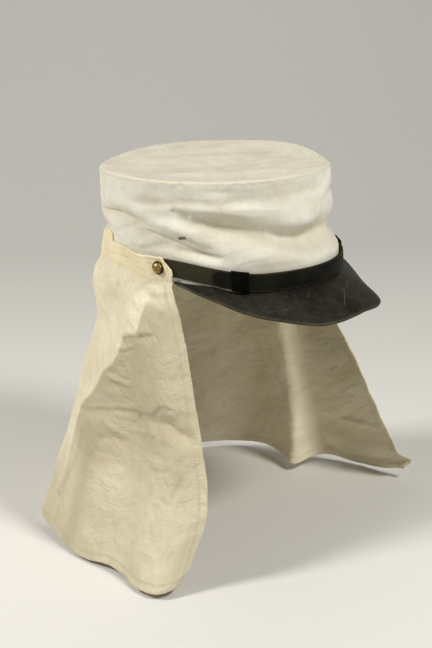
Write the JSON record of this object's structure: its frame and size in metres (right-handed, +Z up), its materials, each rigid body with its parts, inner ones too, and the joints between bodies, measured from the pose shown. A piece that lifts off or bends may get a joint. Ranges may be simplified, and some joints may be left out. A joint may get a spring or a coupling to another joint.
{
  "type": "kepi cap with a cloth neck flap",
  "caption": "Round flat-topped kepi cap in white cotton with a black leather peak and front strap, brass side buttons and a cotton neck flap buttoned on.",
  "frame": {"origin": "centre of the crown's lower opening, in the plane of the crown's lower edge, where the cap sits on a head", "axes": "+Z up through the middle of the crown, -Y forward out of the peak, -X to the wearer's right"},
  "size_m": [0.2992, 0.2763, 0.2935],
  "materials": {
    "cover_cotton": "matt white cotton twill, softly creased",
    "top_cotton": "matt white cotton twill, softly creased",
    "peak_leather": "black leather, scuffed to a soft sheen",
    "strap_leather": "black leather with a raw brown edge",
    "loop_leather": "dull black leather",
    "button_brass": "aged brass, dull in its edge",
    "band_cotton": "doubled unbleached cotton, matt",
    "flap_cotton": "plain unbleached cotton, matt, with fold lines"
  },
  "bodies": {
    "root": {"crown_side": "cover_cotton", "crown_top": "top_cotton", "peak": "peak_leather", "chin_strap_right": "strap_leather", "chin_strap_left": "strap_leather", "strap_loop_right": "loop_leather", "strap_loop_left": "loop_leather", "button_right": "button_brass", "button_left": "button_brass", "flap_band": "band_cotton", "neck_flap": "flap_cotton"}
  },
  "joints": []
}
